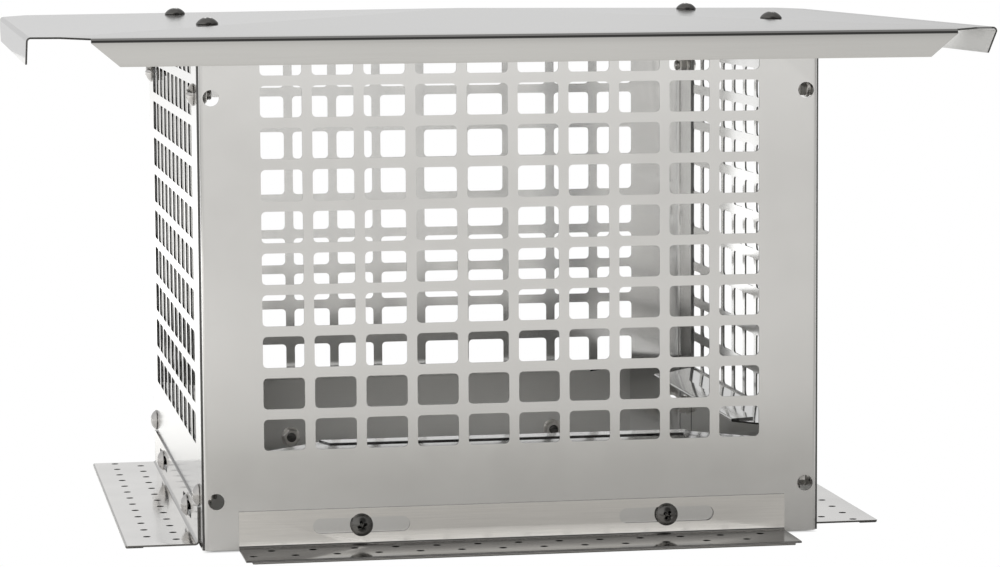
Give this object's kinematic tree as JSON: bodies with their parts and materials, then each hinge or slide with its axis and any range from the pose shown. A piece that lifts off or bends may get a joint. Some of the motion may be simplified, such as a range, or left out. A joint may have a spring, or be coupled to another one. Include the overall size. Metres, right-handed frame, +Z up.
{
  "type": "chimney cap",
  "caption": "Square chimney cap: slotted sheet-steel box under a shallow hipped lid, with inner ledges and slotted base brackets that slide to fit the flue.",
  "frame": {"origin": "plan centre of the box, on the plane under the bracket hems", "axes": "+Z up, +X along the longer side of the lid, front towards -Y"},
  "size_m": [0.428, 0.384, 0.2351],
  "materials": {
    "lid_steel": "bright rolled",
    "panel_steel": "bright rolled",
    "ledge_steel": "bright rolled",
    "bracket_steel": "bright rolled",
    "dark_screws": "dark gloss",
    "bright_nuts": "bright"
  },
  "bodies": {
    "cap": {"lid": "lid_steel", "front_panel": "panel_steel", "front_rest_angle": "ledge_steel", "back_panel": "panel_steel", "back_rest_angle": "ledge_steel", "left_panel": "panel_steel", "left_rest_angle": "ledge_steel", "right_panel": "panel_steel", "right_rest_angle": "ledge_steel", "lid_screws": "dark_screws", "lid_nuts": "bright_nuts", "left_corner_screws": "dark_screws", "left_corner_nuts": "bright_nuts", "right_corner_screws": "dark_screws", "right_corner_nuts": "bright_nuts", "end_bracket_screws": "dark_screws", "end_bracket_nuts": "bright_nuts", "side_bracket_screws": "dark_screws", "side_bracket_nuts": "bright_nuts"},
    "front_bracket": {"front_bracket": "bracket_steel"},
    "back_bracket": {"back_bracket": "bracket_steel"},
    "left_bracket": {"left_bracket": "bracket_steel"},
    "right_bracket": {"right_bracket": "bracket_steel"}
  },
  "joints": [
    {"name": "front_bracket_slide", "type": "slide", "parent": "cap", "child": "front_bracket", "axis": [1, 0, 0], "range_m": [-0.0155, 0.0155]},
    {"name": "back_bracket_slide", "type": "slide", "parent": "cap", "child": "back_bracket", "axis": [1, 0, 0], "range_m": [-0.0155, 0.0155]},
    {"name": "left_bracket_slide", "type": "slide", "parent": "cap", "child": "left_bracket", "axis": [0, 1, 0], "range_m": [-0.0155, 0.0155]},
    {"name": "right_bracket_slide", "type": "slide", "parent": "cap", "child": "right_bracket", "axis": [0, 1, 0], "range_m": [-0.0155, 0.0155]}
  ]
}
